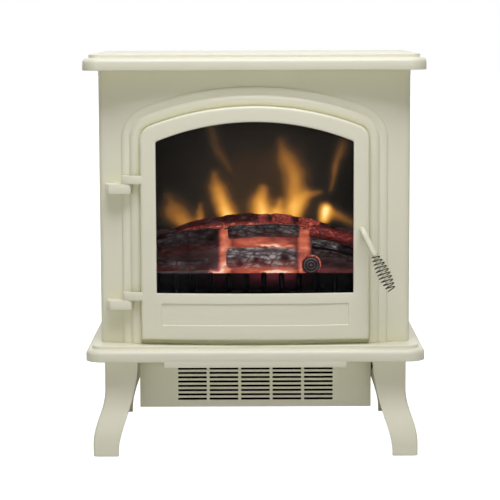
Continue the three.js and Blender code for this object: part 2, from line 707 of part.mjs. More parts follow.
// The coil handle: a cranked rod through the door, with a barrel-shaped spring gripping its lower end.
function buildHandle() {
  const { pivot, knee, tip, rod, wire, turns } = HANDLE;
  const [pivotX, pivotZ] = pivot;
  const bend = new THREE.Vector3(pivotX, knee, pivotZ);
  const end = new THREE.Vector3(...tip);
  const grip = end.clone().sub(bend);
  const at = (t) => bend.clone().addScaledVector(grip, t);
  const path = new THREE.CurvePath();
  const spindleFront = new THREE.Vector3(pivotX, knee + 9, pivotZ);
  path.add(new THREE.LineCurve3(new THREE.Vector3(pivotX, 31, pivotZ), spindleFront));
  path.add(new THREE.QuadraticBezierCurve3(spindleFront, bend, at(0.11)));
  path.add(new THREE.LineCurve3(at(0.11), at(HANDLE.rodEnd)));
  piece("handle_rod", sweep(path, rod, 14, 20), cream);

  const springStart = 0.4;
  const forward = grip.clone().normalize();
  const across = new THREE.Vector3().crossVectors(forward, new THREE.Vector3(0, 1, 0)).normalize();
  const out = new THREE.Vector3().crossVectors(across, forward);
  class Coil extends THREE.Curve {
    getPoint(t, target = new THREE.Vector3()) {
      const angle = 2 * Math.PI * turns * t;
      const swell = HANDLE.belly * Math.sin(Math.PI * t ** 1.2);
      const radius = rod + GAP + wire + 0.1 + t + swell;
      return target
        .copy(at(springStart + (1 - springStart) * t))
        .addScaledVector(across, radius * Math.cos(angle))
        .addScaledVector(out, radius * Math.sin(angle));
    }
  }
  piece("handle_spring", sweep(new Coil(), wire, 6, Math.round(turns * 9)), darkSteel);

  const backY = DOOR.front + bowAt(pivotX) + DOOR.skin;
  const nut = bar([pivotX, backY + 1.5, pivotZ], [pivotX, backY + 7, pivotZ], 6.1, 6);
  const nutBore = bar([pivotX, backY, pivotZ], [pivotX, backY + 9, pivotZ], rod + GAP, 14);
  piece("handle_nut", cut(nut, nutBore), steel);
}

buildPlates();
const filledFront = buildCabinet();
buildLegs();
buildHeater();
buildFirebox();
buildDoor();
buildHinges(filledFront);
buildHandle();

stove.position.y = -(PLATE_DEPTH - FRONT_REACH) / 2;
const part = new THREE.Group();
part.add(stove);

export default part;
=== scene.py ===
# The looks of a compact electric stove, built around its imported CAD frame.
# Every shape here is written in millimetres as (x, depth, z), where depth is the distance behind the
# base plate's front edge, as in the CAD source; Surface turns it into metres in the shared frame.
import json
import math

import bmesh
import bpy
import numpy as np
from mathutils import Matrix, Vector, noise


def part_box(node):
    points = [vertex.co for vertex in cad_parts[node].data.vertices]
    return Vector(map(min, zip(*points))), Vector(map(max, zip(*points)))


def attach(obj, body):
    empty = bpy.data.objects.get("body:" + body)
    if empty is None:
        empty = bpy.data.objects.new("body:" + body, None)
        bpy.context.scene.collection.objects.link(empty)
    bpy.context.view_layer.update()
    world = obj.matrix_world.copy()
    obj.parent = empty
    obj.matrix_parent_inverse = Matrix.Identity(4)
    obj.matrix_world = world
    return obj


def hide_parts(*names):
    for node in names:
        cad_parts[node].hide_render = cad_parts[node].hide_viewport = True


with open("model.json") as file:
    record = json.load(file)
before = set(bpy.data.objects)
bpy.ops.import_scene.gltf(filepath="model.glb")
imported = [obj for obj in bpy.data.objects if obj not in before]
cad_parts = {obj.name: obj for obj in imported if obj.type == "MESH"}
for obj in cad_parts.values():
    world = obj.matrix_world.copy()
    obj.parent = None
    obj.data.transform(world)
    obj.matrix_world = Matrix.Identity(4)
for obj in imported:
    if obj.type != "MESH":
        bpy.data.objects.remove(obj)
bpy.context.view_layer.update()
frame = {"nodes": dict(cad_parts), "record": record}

MM = 0.001
FRONT_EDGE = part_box("base_plate")[0].y
BODY_OF = {node: body for body, nodes in frame["record"]["behaviour"]["bodies"].items() for node in nodes}
SLOT_OF = {part["node"]: part["material_slot"] for part in frame["record"]["subparts"]}

# ---- sizes shared with the CAD ----
PLATE_WIDTH = 504
PLATE_DEPTH = 345
PLATE_CORNER = 25
BASE_Z = 144
TOP_Z = 574
TAB_HALF = 134.5
TAB_DROP = 8
BODY_HALF = 231
BODY_BOTTOM = 167.8
BODY_TOP = 573.7
BODY_FRONT = 24
BODY_CORNER = 8
BOW_RADIUS = 1200
BOW_CENTRE = BODY_FRONT + BOW_RADIUS
RETURN_END = 62
ARCH = {"half": 197.4, "corner": 51, "radius": 453, "apex": 550}
POCKET_INSET = 28.15
FIRE_INSET = 38
FIRE_BOTTOM = 238
DOOR_INSET = 28.4
DOOR_BOTTOM = 175.4
DOOR_FRONT = 6
DOOR_BACK = 22.5
DOOR_SKIN = 3
WINDOW = {"half": 145.5, "corner": 4, "radius": 377, "apex": 498.6}
WINDOW_BOTTOM = 245.4
RECESS = (138.5, 197.3, 230.5, 1.5)
PANE_LAP = 6
PANE_FRONT = 9.3
PANE_BACK = 13.3
# the hinge leaves' arms, which the looks carry on over the edge of the door: what is beyond LEAF_ARM
# goes out to LEAF_END, and forward by LEAF_FORWARD but not past LEAF_FRONT
LEAVES = ("hinge_leaf_lower", "hinge_leaf_upper")
LEAF_ARM = -175
LEAF_END = -166.2
LEAF_FORWARD = 3.6
LEAF_FRONT = 17.0
# steps up the sides of an arch, for the door and for the front panel
SIDE_STEPS = 14
PANEL_STEPS = 24
# how much the CAD's hard edges are softened, and the plates' round-over
SOFT_EDGE = 0.5
ROUND_OVER = 7
# both wings of a leg are alike: a wing's depth is LEG_CORNER less its distance from the middle
LEG_CORNER = 251
FRET_POSTS = 12
FRET_PITCH = 26.4
FRET_DEPTH = 44
# points round and along a log
LOG_AROUND = 84
LOG_ALONG = 120
# the parts seen through the outlet grille's slots, given a near-black finish as painted shade in the
# cavity
BEHIND_SLOTS = ("heating_element", "blower_wheel", "blower_scroll", "blower_motor", "heater_housing")


# ---- mesh building ----
class Surface:
    """Collects faces in millimetres; points that coincide are shared."""

    def __init__(self):
        self.points = []
        self.faces = []
        self.index = {}
        self.values = []

    def point(self, spot, value=0.0):
        key = tuple(round(c, 2) for c in spot)
        if key not in self.index:
            self.index[key] = len(self.points)
            self.points.append(spot)
            self.values.append(value)
        return self.index[key]

    def face(self, spots):
        ids = [self.point(s) for s in spots]
        ids = [k for i, k in enumerate(ids) if k != ids[i - 1]]
        if len(set(ids)) > 2:
            self.faces.append(ids)

    def strip(self, a, b, closed=False):
        count = len(a)
        for i in range(count if closed else count - 1):
            j = (i + 1) % count
            self.face([a[i], a[j], b[j], b[i]])

    def loft(self, rings, closed=False):
        for a, b in zip(rings, rings[1:]):
            self.strip(a, b, closed)

    def solid(self, rings):
        """A closed loft with both ends filled."""
        self.loft(rings, closed=True)
        self.face(rings[0])
        self.face(rings[-1])

    def build(self, node, material, sharp=35, attribute=None):
        attributes = {attribute: self.values} if attribute else {}
        build_mesh(node, self.points, self.faces, attributes, material, sharp)


def build_mesh(node, points, faces, attributes, material, sharp):
    mesh = bpy.data.meshes.new(node + "_shape")
    metres = [(x * MM, FRONT_EDGE + d * MM, z * MM) for x, d, z in points]
    mesh.from_pydata(metres, [], faces)
    for name, values in attributes.items():
        layer = mesh.attributes.new(name, "FLOAT", "POINT")
        layer.data.foreach_set("value", np.array(values, np.float32))
    finish_mesh(node, mesh, material, sharp)


def finish_mesh(node, mesh, material, sharp=35):
    """The mesh becomes a piece that stands for the CAD node."""
    shape = bmesh.new()
    shape.from_mesh(mesh)
    bmesh.ops.recalc_face_normals(shape, faces=shape.faces)
    shape.to_mesh(mesh)
    shape.free()
    mesh.shade_smooth()
    mesh.set_sharp_from_angle(angle=math.radians(sharp))
    mesh.materials.append(material)
    piece = bpy.data.objects.new(node + "_shape", mesh)
    bpy.context.scene.collection.objects.link(piece)
    stand_for(piece, node)


def stand_for(piece, *nodes):
    """The piece moves with the first node's body and takes these nodes' place."""
    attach(piece, BODY_OF[nodes[0]])
    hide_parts(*nodes)


def refined(node, material):
    """A CAD node with its edges softened, as a piece that stands for it."""
    shape = bmesh.new()
    shape.from_mesh(frame["nodes"][node].data)
    if node in LEAVES:
        for vertex in shape.verts:
            if vertex.co.x > LEAF_ARM * MM:
                vertex.co.x = LEAF_END * MM
                vertex.co.y = max(vertex.co.y - LEAF_FORWARD * MM, FRONT_EDGE + LEAF_FRONT * MM)
    bmesh.ops.remove_doubles(shape, verts=shape.verts, dist=1e-6)
    flat = math.radians(1.5)
    bmesh.ops.dissolve_limit(shape, angle_limit=flat, verts=shape.verts, edges=shape.edges)
    edges = [e for e in shape.edges if e.is_manifold and e.calc_face_angle() > math.radians(40)]
    bmesh.ops.bevel(
        shape,
        geom=edges,
        offset=SOFT_EDGE * MM,
        segments=2,
        profile=0.5,
        affect="EDGES",
        clamp_overlap=True,
    )
    mesh = bpy.data.meshes.new(node + "_shape")
    shape.to_mesh(mesh)
    shape.free()
    finish_mesh(node, mesh, material)


# ---- outlines ----
def turn_points(cx, cy, radius, start, end, steps):
    angles = np.linspace(start, end, steps + 1)
    return [(cx + radius * math.cos(a), cy + radius * math.sin(a)) for a in angles]


def grown(arch, amount):
    """The arch with every line moved outwards, or inwards by a negative amount."""
    return {key: size + amount for key, size in arch.items()}


def arch_line(arch, bottom, side_steps=SIDE_STEPS):
    """From the right foot up, over the arch and down to the left foot, as (x, z)."""
    half, corner, radius, apex = (arch[k] for k in ("half", "corner", "radius", "apex"))
    crown = apex - radius
    reach = math.sqrt((radius - corner) ** 2 - (half - corner) ** 2)
    lean = math.atan2(reach, half - corner)
    shoulder = crown + reach
    sides = list(np.linspace(bottom, shoulder, side_steps + 1)[:-1])
    line = [(half, z) for z in sides]
    line += turn_points(half - corner, shoulder, corner, 0, lean, 12)
    line += turn_points(0, crown, radius, lean, math.pi - lean, 56)[1:-1]
    line += turn_points(corner - half, shoulder, corner, math.pi - lean, math.pi, 12)
    line += [(-half, z) for z in reversed(sides)]
    return line


def face_depth(x, depth):
    """Depth of a bowed surface at x, when it is `depth` at the middle."""
    return BOW_CENTRE - math.sqrt((BOW_CENTRE - depth) ** 2 - x**2)


def on_bow(line, depth):
    return [(x, face_depth(x, depth), z) for x, z in line]


def between(a, b, t):
    return [(p[0] + (q[0] - p[0]) * t, p[1] + (q[1] - p[1]) * t) for p, q in zip(a, b)]


def plate_outline(inset):
    """The plates' rounded outline, as (x, depth), this far inside their edge."""
    half = PLATE_WIDTH / 2 - inset
    radius = max(PLATE_CORNER - inset, 2)
    near, far = inset + radius, PLATE_DEPTH - inset - radius
    left, right = radius - half, half - radius
    quarter = math.pi / 2
    line = []
    for k, (x, depth) in enumerate([(right, far), (left, far), (left, near), (right, near)]):
        line += turn_points(x, depth, radius, k * quarter, (k + 1) * quarter, 10)
    return line


# ---- materials ----
def new_material(name):
    material = bpy.data.materials.new(name)
    material.use_nodes = True
    tree = material.node_tree
    return material, tree, tree.nodes["Principled BSDF"]


def add(tree, kind, **settings):
    node = tree.nodes.new(kind)
    for key, value in settings.items():
        if key in node.inputs.keys():
            node.inputs[key].default_value = value
        else:
            setattr(node, key, value)
    return node


def noise_on(tree, scale, detail=3, roughness=0.55, stretch=(1, 1, 1)):
    """Noise in the piece's own coordinates, in cycles a metre."""
    place = add(tree, "ShaderNodeTexCoord")
    mapping = add(tree, "ShaderNodeMapping")
    mapping.inputs["Scale"].default_value = stretch
    tree.links.new(place.outputs["Object"], mapping.inputs["Vector"])
    texture = add(tree, "ShaderNodeTexNoise", Scale=scale, Detail=detail, Roughness=roughness)
    tree.links.new(mapping.outputs["Vector"], texture.inputs["Vector"])
    return texture.outputs["Fac"]


def ramp(tree, source, stops):
    node = add(tree, "ShaderNodeValToRGB")
    elements = node.color_ramp.elements
    while len(elements) < len(stops):
        elements.new(0.5)
    for element, (at, colour) in zip(elements, stops):
        element.position = at
        element.color = (*colour, 1)
    tree.links.new(source, node.inputs["Fac"])
    return node.outputs["Color"]


def to_range(tree, source, low, high, from_low=0.3, from_high=0.7):
    node = add(tree, "ShaderNodeMapRange")
    node.inputs["From Min"].default_value = from_low
    node.inputs["From Max"].default_value = from_high
    node.inputs["To Min"].default_value = low
    node.inputs["To Max"].default_value = high
    tree.links.new(source, node.inputs["Value"])
    return node.outputs["Result"]


def bump(tree, shader, source, distance, strength=0.4):
    node = add(tree, "ShaderNodeBump", Strength=strength, Distance=distance)
    tree.links.new(source, node.inputs["Height"])
    tree.links.new(node.outputs["Normal"], shader.inputs["Normal"])


def plain_finish(name, dark, light, rough, metallic=0.0, grain=900, stretch=(1, 1, 1)):
    """A finish whose colour and roughness vary a little, with a fine grain in its surface."""
    material, tree, shader = new_material(name)
    patches = noise_on(tree, 14, 4)
    tree.links.new(ramp(tree, patches, [(0.35, dark), (0.65, light)]), shader.inputs["Base Color"])
    fine = noise_on(tree, grain, 3, stretch=stretch)
    tree.links.new(to_range(tree, fine, rough[0], rough[1]), shader.inputs["Roughness"])
    shader.inputs["Metallic"].default_value = metallic
    bump(tree, shader, fine, 0.00005)
    return material


def cream_paint():
    """Sprayed satin enamel: an even cream with a faint orange-peel surface."""
    material, tree, shader = new_material("cream_paint")
    patches = noise_on(tree, 9, 3)
    colours = [(0.3, (0.785, 0.765, 0.52)), (0.7, (0.80, 0.78, 0.535))]
    tree.links.new(ramp(tree, patches, colours), shader.inputs["Base Color"])
    peel = noise_on(tree, 420, 2)
    tree.links.new(to_range(tree, peel, 0.36, 0.46), shader.inputs["Roughness"])
    shader.inputs["Coat Weight"].default_value = 0.15
    shader.inputs["Coat Roughness"].default_value = 0.2
    bump(tree, shader, peel, 0.00004, 0.25)
    return material


def attribute(tree, name):
    return add(tree, "ShaderNodeAttribute", attribute_name=name).outputs["Fac"]


def times(tree, a, b):
    node = add(tree, "ShaderNodeMath", operation="MULTIPLY")
    tree.links.new(a, node.inputs[0])
    tree.links.new(b, node.inputs[1])
    return node.outputs[0]


def glowing_bark():
    """Moulded bark: char, grey ash where its ash attribute is high, and red paint where its ember
    attribute is, with a painted glow over the red and a faint painted glow over the ash.
    """
    material, tree, shader = new_material("glowing_bark")
    ash_grey_and_glow, ember_red_and_glow = attribute(tree, "ash_grey_and_glow"), attribute(tree, "ember_red_and_glow")
    fibres = noise_on(tree, 75, 4, 0.6, (0.4, 1, 1))
    grey = times(tree, ash_grey_and_glow, to_range(tree, fibres, 0.55, 1.25, 0.35, 0.65))
    char = [(0.0, (0.006, 0.0045, 0.0045)), (0.3, (0.035, 0.028, 0.027)), (0.6, (0.13, 0.115, 0.105))]
    char += [(1.0, (0.38, 0.35, 0.33))]
    paint = add(tree, "ShaderNodeMix", data_type="RGBA")
    tree.links.new(to_range(tree, ember_red_and_glow, 0.0, 0.75, 0.05, 0.6), paint.inputs[0])
    tree.links.new(ramp(tree, grey, char), paint.inputs[6])
    paint.inputs[7].default_value = (0.22, 0.045, 0.04, 1)
    tree.links.new(paint.outputs[2], shader.inputs["Base Color"])
    fine = noise_on(tree, 520, 5, 0.7)
    tree.links.new(to_range(tree, fine, 0.75, 0.95), shader.inputs["Roughness"])
    bump(tree, shader, fine, 0.0009, 0.8)
    flecks = noise_on(tree, 260, 3, 0.6)
    glow_level = times(tree, ember_red_and_glow, to_range(tree, flecks, 0.25, 1.25, 0.36, 0.66))
    glow = [(0.0, (0, 0, 0)), (0.2, (0.03, 0.004, 0.004)), (0.45, (0.16, 0.022, 0.018))]
    glow += [(0.7, (0.42, 0.075, 0.045)), (1.0, (0.8, 0.3, 0.2))]
    lit = add(tree, "ShaderNodeMix", data_type="RGBA", blend_type="ADD")
    lit.inputs[0].default_value = 1.0
    tree.links.new(ramp(tree, glow_level, glow), lit.inputs[6])
    # a faint painted glow on the ash, which makes the grey patches lighter
    ash_painted_light = [(0.15, (0, 0, 0)), (0.5, (0.03, 0.026, 0.025)), (1.0, (0.15, 0.135, 0.125))]
    tree.links.new(ramp(tree, grey, ash_painted_light), lit.inputs[7])
    tree.links.new(lit.outputs[2], shader.inputs["Emission Color"])
    shader.inputs["Emission Strength"].default_value = 1.0
    shader.inputs["Specular IOR Level"].default_value = 0.12
    return material


def ember_glow():
    """Translucent moulded coals lit from below, as bright as their glow attribute."""
    material, tree, shader = new_material("ember_glow")
    streaks = noise_on(tree, 55, 4, 0.55, (0.45, 1, 1.6))
    glow_level = times(tree, attribute(tree, "glow"), to_range(tree, streaks, 0.72, 1.2, 0.35, 0.65))
    glow = [(0.0, (0.004, 0.003, 0.003)), (0.2, (0.03, 0.014, 0.014)), (0.38, (0.17, 0.03, 0.026))]
    glow += [(0.55, (0.4, 0.075, 0.042)), (0.7, (0.55, 0.13, 0.07)), (0.85, (0.72, 0.26, 0.14))]
    glow += [(1.0, (0.93, 0.64, 0.5))]
    tree.links.new(ramp(tree, glow_level, glow), shader.inputs["Emission Color"])
    shader.inputs["Emission Strength"].default_value = 1.0
    resin = [(0.4, (0.03, 0.022, 0.022)), (0.7, (0.12, 0.09, 0.088))]
    tree.links.new(ramp(tree, streaks, resin), shader.inputs["Base Color"])
    shader.inputs["Roughness"].default_value = 0.6
    bump(tree, shader, noise_on(tree, 400, 4), 0.0008, 0.6)
    return material


def fret_paint():
    """Black paint that catches a faint red glow where the glow attribute is high."""
    material = plain_finish("fret_paint", (0.0022, 0.0024, 0.0022), (0.004, 0.0043, 0.004), (0.55, 0.75))
    tree = material.node_tree
    shader = tree.nodes["Principled BSDF"]
    shader.inputs["Specular IOR Level"].default_value = 0.12
    red = [(0.0, (0, 0, 0)), (0.5, (0.018, 0.002, 0.004)), (1.0, (0.09, 0.01, 0.018))]
    tree.links.new(ramp(tree, attribute(tree, "glow"), red), shader.inputs["Emission Color"])
    shader.inputs["Emission Strength"].default_value = 1.0
    return material


def painted_flame_light():
    """The smoked screen with painted flame light on it, bright only where the flames' light attribute is
    high.
    """
    material, tree, shader = new_material("painted_flame_light")
    soot = noise_on(tree, 25, 3)
    wavering = times(tree, attribute(tree, "flame_light"), to_range(tree, soot, 0.9, 1.08))
    colours = [
        (0.0, (0.0035, 0.003, 0.0025)),
        (0.12, (0.018, 0.013, 0.009)),
        (0.25, (0.06, 0.03, 0.013)),
        (0.42, (0.25, 0.10, 0.022)),
        (0.6, (0.55, 0.23, 0.035)),
        (0.8, (0.92, 0.42, 0.07)),
        (0.92, (1.0, 0.62, 0.16)),
        (1.0, (1.0, 0.85, 0.36)),
    ]
    tree.links.new(ramp(tree, wavering, colours), shader.inputs["Emission Color"])
    shader.inputs["Emission Strength"].default_value = 1.05
    smoke = [(0.3, (0.001, 0.001, 0.001)), (0.7, (0.003, 0.003, 0.003))]
    tree.links.new(ramp(tree, soot, smoke), shader.inputs["Base Color"])
    tree.links.new(to_range(tree, noise_on(tree, 500), 0.4, 0.55), shader.inputs["Roughness"])
    shader.inputs["Specular IOR Level"].default_value = 0.1
    return material


def clear_glass():
    """Thin glass with a low index, so that it reflects little of the studio over the fire."""
    material, tree, shader = new_material("clear_glass")
    shader.inputs["Transmission Weight"].default_value = 1.0
    shader.inputs["IOR"].default_value = 1.06
    tint = ramp(tree, noise_on(tree, 6), [(0.3, (0.93, 0.94, 0.93)), (0.7, (0.96, 0.965, 0.96))])
    tree.links.new(tint, shader.inputs["Base Color"])
    tree.links.new(to_range(tree, noise_on(tree, 30), 0.0, 0.02), shader.inputs["Roughness"])
    return material


def lamp_glow():
    """The lamps' warm glow."""
    material, tree, shader = new_material("lamp_glow")
    shade = ramp(tree, noise_on(tree, 120), [(0.3, (0.9, 0.62, 0.3)), (0.7, (1.0, 0.75, 0.42))])
    tree.links.new(shade, shader.inputs["Base Color"])
    tree.links.new(shade, shader.inputs["Emission Color"])
    shader.inputs["Emission Strength"].default_value = 1.5
    shader.inputs["Roughness"].default_value = 0.3
    return material


CREAM = cream_paint()
BLACK = plain_finish("black_paint", (0.0025, 0.0026, 0.0024), (0.0045, 0.0046, 0.0042), (0.5, 0.7))
BLACK.node_tree.nodes["Principled BSDF"].inputs["Specular IOR Level"].default_value = 0.15
ZINC, PALE_ZINC = (0.42, 0.42, 0.42), (0.58, 0.58, 0.57)
STEEL = plain_finish("zinc_steel", ZINC, PALE_ZINC, (0.28, 0.45), 1.0, 700, (1, 12, 1))
OLIVE, PALE_OLIVE = (0.075, 0.072, 0.042), (0.13, 0.125, 0.08)
SPRING_STEEL = plain_finish("spring_steel", OLIVE, PALE_OLIVE, (0.35, 0.55), 1.0, 1500)
PLASTIC = plain_finish("black_plastic", (0.018, 0.018, 0.018), (0.03, 0.03, 0.03), (0.4, 0.6), 0.0, 1600)
# near-black painted shade for the parts behind the grille's slots
SHADE_BLACK = plain_finish("shade_black_steel", (0.004, 0.004, 0.004), (0.008, 0.008, 0.008), (0.7, 0.9))
SHADE_BLACK.node_tree.nodes["Principled BSDF"].inputs["Specular IOR Level"].default_value = 0.05
MIRROR = plain_finish("mirror_foil", (0.75, 0.75, 0.75), (0.88, 0.88, 0.88), (0.05, 0.15), 1.0, 200)
BARK = glowing_bark()
FRET = fret_paint()
EMBER = ember_glow()
FLAMES = painted_flame_light()
GLASS = clear_glass()
LAMP = lamp_glow()
BY_SLOT = {
    "cream_paint": CREAM,
    "black_paint": BLACK,
    "steel": STEEL,
    "dark_steel": SPRING_STEEL,
    "black_plastic": PLASTIC,
    "log_resin": BARK,
    "ember_resin": EMBER,
    "clear_glass": GLASS,
    "smoked_screen": FLAMES,
    "mirror_foil": MIRROR,
    "lamp_lens": LAMP,
}


# ---- top and base plates ----
def plate_profile():
    """(inset, height) from the underside out, up the edge and in over both tiers."""
    profile = [(24, 0), (1.2, 0), (0.35, 0.35), (0, 1.2)]
    profile += [(ROUND_OVER - x, 11 + z) for x, z in turn_points(0, 0, ROUND_OVER, 0, math.pi / 2, 9)]
    profile += [(8.3, 18), (9.0, 18.2), (9.3, 18.9), (9.3, 21.7)]
    profile += [(11.1 - x, 21.7 + z) for x, z in turn_points(0, 0, 1.8, 0, math.pi / 2, 5)[1:]]
    profile += [(24, 23.5)]
    return profile


def build_plate(node, bottom, tab=False):
    surface = Surface()
    rings = [[(x, d, bottom + z) for x, d in plate_outline(inset)] for inset, z in plate_profile()]
    surface.solid(rings)
    if tab:
        lip = [(0, -TAB_DROP + 0.8), (0.25, -TAB_DROP + 0.2), (0.8, -TAB_DROP)]
        lip += [(1.7, -TAB_DROP), (2, -TAB_DROP + 0.4), (2, 0.2)]
        ends = np.linspace(-TAB_HALF, TAB_HALF, 3)
        rows = [[(x, d, bottom + z) for d, z in [(0, 1.3), *lip]] for x in ends]
        surface.loft(rows)
        surface.face(rows[0])
        surface.face(rows[-1])
    surface.build(node, CREAM)


# ---- bowed faces with an arched window ----
def fixed_lines(window_half, recess):
    """x positions across the low band, inside the window's width."""
    lines = set(np.linspace(-window_half, window_half, 41).round(3))
    if recess:
        half = recess[0]
        lines |= {-half, 0.8 - half, half - 0.8, half}
    return sorted(lines)


def band_levels(bottom, sill, recess):
    levels = set(np.linspace(bottom, sill, 7).round(3))
    if recess:
        _, low, high, _ = recess
        levels = {z for z in levels if not (low - 2 < z < low + 3 or high - 3 < z < high + 2)}
        levels |= {low, low + 0.8, high - 0.8, high, float(bottom), float(sill)}
    return sorted(levels)


def bowed_face(surface, outer, window, bottom, sill, depth, recess=None):
    """The bowed sheet between an outer arch and an arched window, with a low band under the window."""
    outside = arch_line(outer, sill)
    inside = arch_line(window, sill)
    shares = np.linspace(0, 1, 5)
    surface.loft([on_bow(between(outside, inside, t), depth) for t in shares])
    margins = [outer["half"] + (window["half"] - outer["half"]) * t for t in shares[:-1]]
    across = [-x for x in margins] + fixed_lines(window["half"], recess) + margins[::-1]
    rows = []
    for z in band_levels(bottom, sill, recess):
        row = []
        for x in across:
            sunk = 0
            if recess:
                half, low, high, deep = recess
                if abs(x) < half - 0.5 and low + 0.5 < z < high - 0.5:
                    sunk = deep
            row.append((x, face_depth(x, depth) + sunk, z))
        rows.append(row)
    surface.loft(rows)
    return across


def outer_loop(arch, bottom, sill, depth, across, levels):
    """The face's whole outer edge, as one closed loop."""
    half = arch["half"]
    line = [(half, z) for z in levels[1:-1]] + arch_line(arch, sill)
    line += [(-half, z) for z in reversed(levels[1:-1])]
    line += [(max(-half, min(half, x)), bottom) for x in [-half, *across[1:-1], half]]
    return on_bow(line, depth)


def window_loop(window, sill, depth, across):
    half = window["half"]
    floor = [(x, sill) for x in across if abs(x) < half - 0.01]
    return on_bow(arch_line(window, sill) + floor, depth)


def build_surround():
    """The bowed front: a moulded arch, the panel outside it, and the pocket with the fire's opening."""
    surface = Surface()
    panel = BODY_FRONT
    # rise of the moulding's two rounded bands, from the outline inwards to the door
    profile = [(0, 0), (0.3, 1.3), (1.1, 2.3), (2.4, 2.9), (4.4, 3.2), (7, 3.1), (9.5, 2.7)]
    profile += [(11.4, 2.2), (12.4, 2.3), (13.1, 3.3), (14.1, 4.6), (15.6, 5.6), (17.5, 6.2)]
    profile += [(20, 6.5), (22.5, 6.4), (24.6, 6.0), (26.2, 5.4), (27.4, 4.6), (28.1, 3.8)]
    profile += [(POCKET_INSET, 0)]
    rings = []
    for inset, rise in profile:
        rings.append(on_bow(arch_line(grown(ARCH, -inset), BODY_BOTTOM, PANEL_STEPS), panel - rise))
    surface.loft(rings)

    outline = arch_line(ARCH, BODY_BOTTOM, PANEL_STEPS)
    side = BODY_HALF - BODY_CORNER
    reach = math.sqrt((BOW_RADIUS - BODY_CORNER) ** 2 - side**2)
    lean = math.atan2(-reach, side)
    edge = side + BODY_CORNER * math.cos(lean)
    shoulder = outline[PANEL_STEPS][1]
    upper = np.linspace(shoulder, BODY_TOP, 13)
    column = [z for _, z in outline[:PANEL_STEPS]] + list(upper)
    frame_line = [(edge, z) for z in column]
    frame_line += [(x, BODY_TOP) for x in np.linspace(edge, -edge, 57)[1:-1]]
    frame_line += [(-edge, z) for z in reversed(column)]
    surface.loft([on_bow(between(outline, frame_line, t), panel) for t in np.linspace(0, 1, 13)])

    bend = turn_points(side, BOW_CENTRE - reach, BODY_CORNER, lean, 0, 6) + [(BODY_HALF, RETURN_END)]
    bend += [(BODY_HALF - 2, RETURN_END)]
    for sign in (1, -1):
        surface.loft([[(sign * x, d, z) for z in column] for x, d in bend])

    pocket = grown(ARCH, -POCKET_INSET)
    opening = grown(ARCH, -FIRE_INSET)
    across = bowed_face(surface, pocket, opening, BODY_BOTTOM, FIRE_BOTTOM, panel)
    loops = [window_loop(opening, FIRE_BOTTOM, depth, across) for depth in (panel, panel + 2)]
    surface.loft(loops, closed=True)
    surface.build("front_surround", CREAM)


def rolled(radius, steps):
    """An edge rolled back from the door's front, as (inset, depth)."""
    turns = np.linspace(0, math.pi / 2, steps)
    return [(radius * (1 - math.sin(a)), DOOR_FRONT + radius * (1 - math.cos(a))) for a in turns]


def build_door():
    """A pressed front with rolled edges, a sunk panel below the window, and a plain inner skin."""
    surface = Surface()
    arch = grown(ARCH, -DOOR_INSET)
    soft = 3.6
    lip = 1.6
    face_arch = grown(arch, -soft)
    face_window = grown(WINDOW, lip)
    sill = WINDOW_BOTTOM - lip
    bottom = DOOR_BOTTOM + soft
    across = bowed_face(surface, face_arch, face_window, bottom, sill, DOOR_FRONT, RECESS)
    levels = band_levels(bottom, sill, RECESS)

    def edge(inset, depth):
        return outer_loop(grown(arch, -inset), DOOR_BOTTOM + inset, sill, depth, across, levels)

    loops = [edge(inset, depth) for inset, depth in rolled(soft, 6)]
    loops += [edge(0, DOOR_BACK), edge(DOOR_SKIN, DOOR_BACK)]
    surface.loft(loops, closed=True)

    def rim(amount, depth):
        return window_loop(grown(WINDOW, amount), WINDOW_BOTTOM - amount, depth, across)

    inner = [rim(amount, depth) for amount, depth in rolled(lip, 5)] + [rim(0, DOOR_FRONT + DOOR_SKIN)]
    surface.loft(inner, closed=True)

    back = Surface()
    pan = grown(arch, -DOOR_SKIN)
    floor = DOOR_BOTTOM + DOOR_SKIN
    back_across = bowed_face(back, pan, WINDOW, floor, WINDOW_BOTTOM, DOOR_FRONT + DOOR_SKIN)
    back_levels = band_levels(floor, WINDOW_BOTTOM, None)
    wall = []
    for depth in (DOOR_FRONT + DOOR_SKIN, DOOR_BACK):
        wall.append(outer_loop(pan, floor, WINDOW_BOTTOM, depth, back_across, back_levels))
    back.loft(wall, closed=True)
    for ids in back.faces:
        surface.face([back.points[i] for i in ids])
    surface.build("door_frame", CREAM)


def build_pane():
    """The bowed glass: upright columns, front and back, closed round the edge."""
    arch = grown(WINDOW, PANE_LAP)
    line = arch_line(arch, WINDOW_BOTTOM - PANE_LAP)
    tops = sorted((x, z) for x, z in line if z > line[SIDE_STEPS][1] - 0.01)
    xs = np.linspace(-arch["half"], arch["half"], 61)
    heights = np.interp(xs, [x for x, _ in tops], [z for _, z in tops])
    surface = Surface()
    rows = []
    for depth, flip in ((PANE_FRONT, False), (PANE_BACK, True)):
        low = [(x, face_depth(x, depth), WINDOW_BOTTOM - PANE_LAP) for x in xs]
        high = [(x, face_depth(x, depth), z) for x, z in zip(xs, heights)]
        rows += [high, low] if flip else [low, high]
    surface.loft([*rows, rows[0]])
    surface.face([row[0] for row in rows])
    surface.face([row[-1] for row in rows])
    surface.build("door_glass", GLASS, 50)


# ---- legs ----
def bezier(a, b, c, d):
    t = np.linspace(0, 1, 30)[:, None]
    return (1 - t) ** 3 * a + 3 * (1 - t) ** 2 * t * b + 3 * (1 - t) * t**2 * c + t**3 * d


